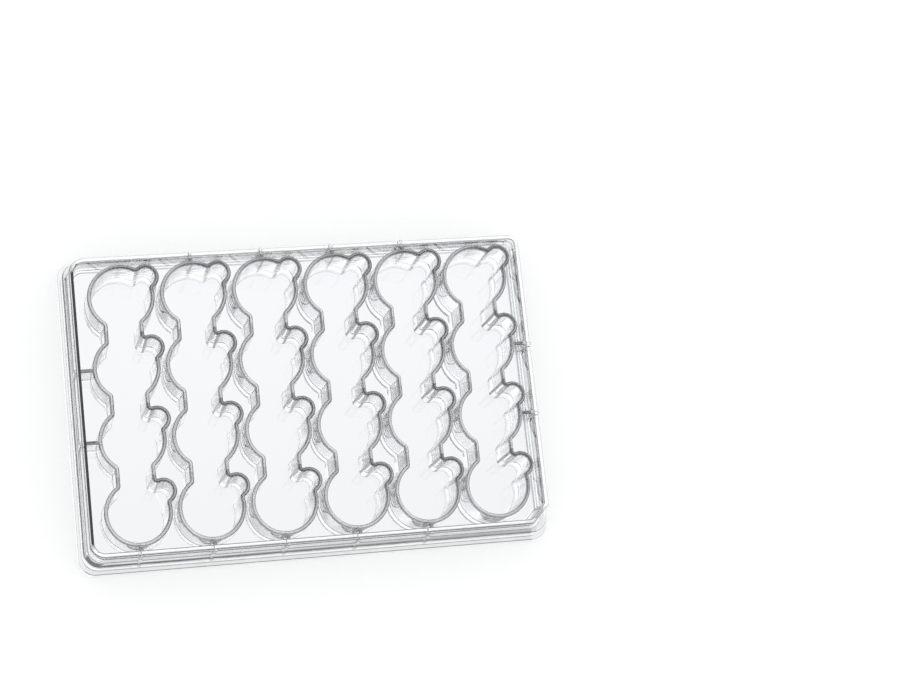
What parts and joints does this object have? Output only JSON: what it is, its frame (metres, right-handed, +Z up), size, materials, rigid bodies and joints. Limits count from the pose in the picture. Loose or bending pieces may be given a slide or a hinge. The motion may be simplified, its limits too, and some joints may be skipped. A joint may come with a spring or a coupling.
{
  "type": "well plate",
  "caption": "Flat culture plate with a grid of round wells, each with an ear, joined by necks into open channels; moats between them, a ledge for a lid and a foot flange.",
  "frame": {"origin": "middle of the foot's underside", "axes": "+Z up out of the wells, +X along the long side from column 1 to column 6, +Y towards row A"},
  "size_m": [0.1278, 0.0854, 0.017],
  "materials": {
    "clear_polystyrene": "clear, polished mould finish"
  },
  "bodies": {
    "root": {"well_plate": "clear_polystyrene"}
  },
  "joints": []
}
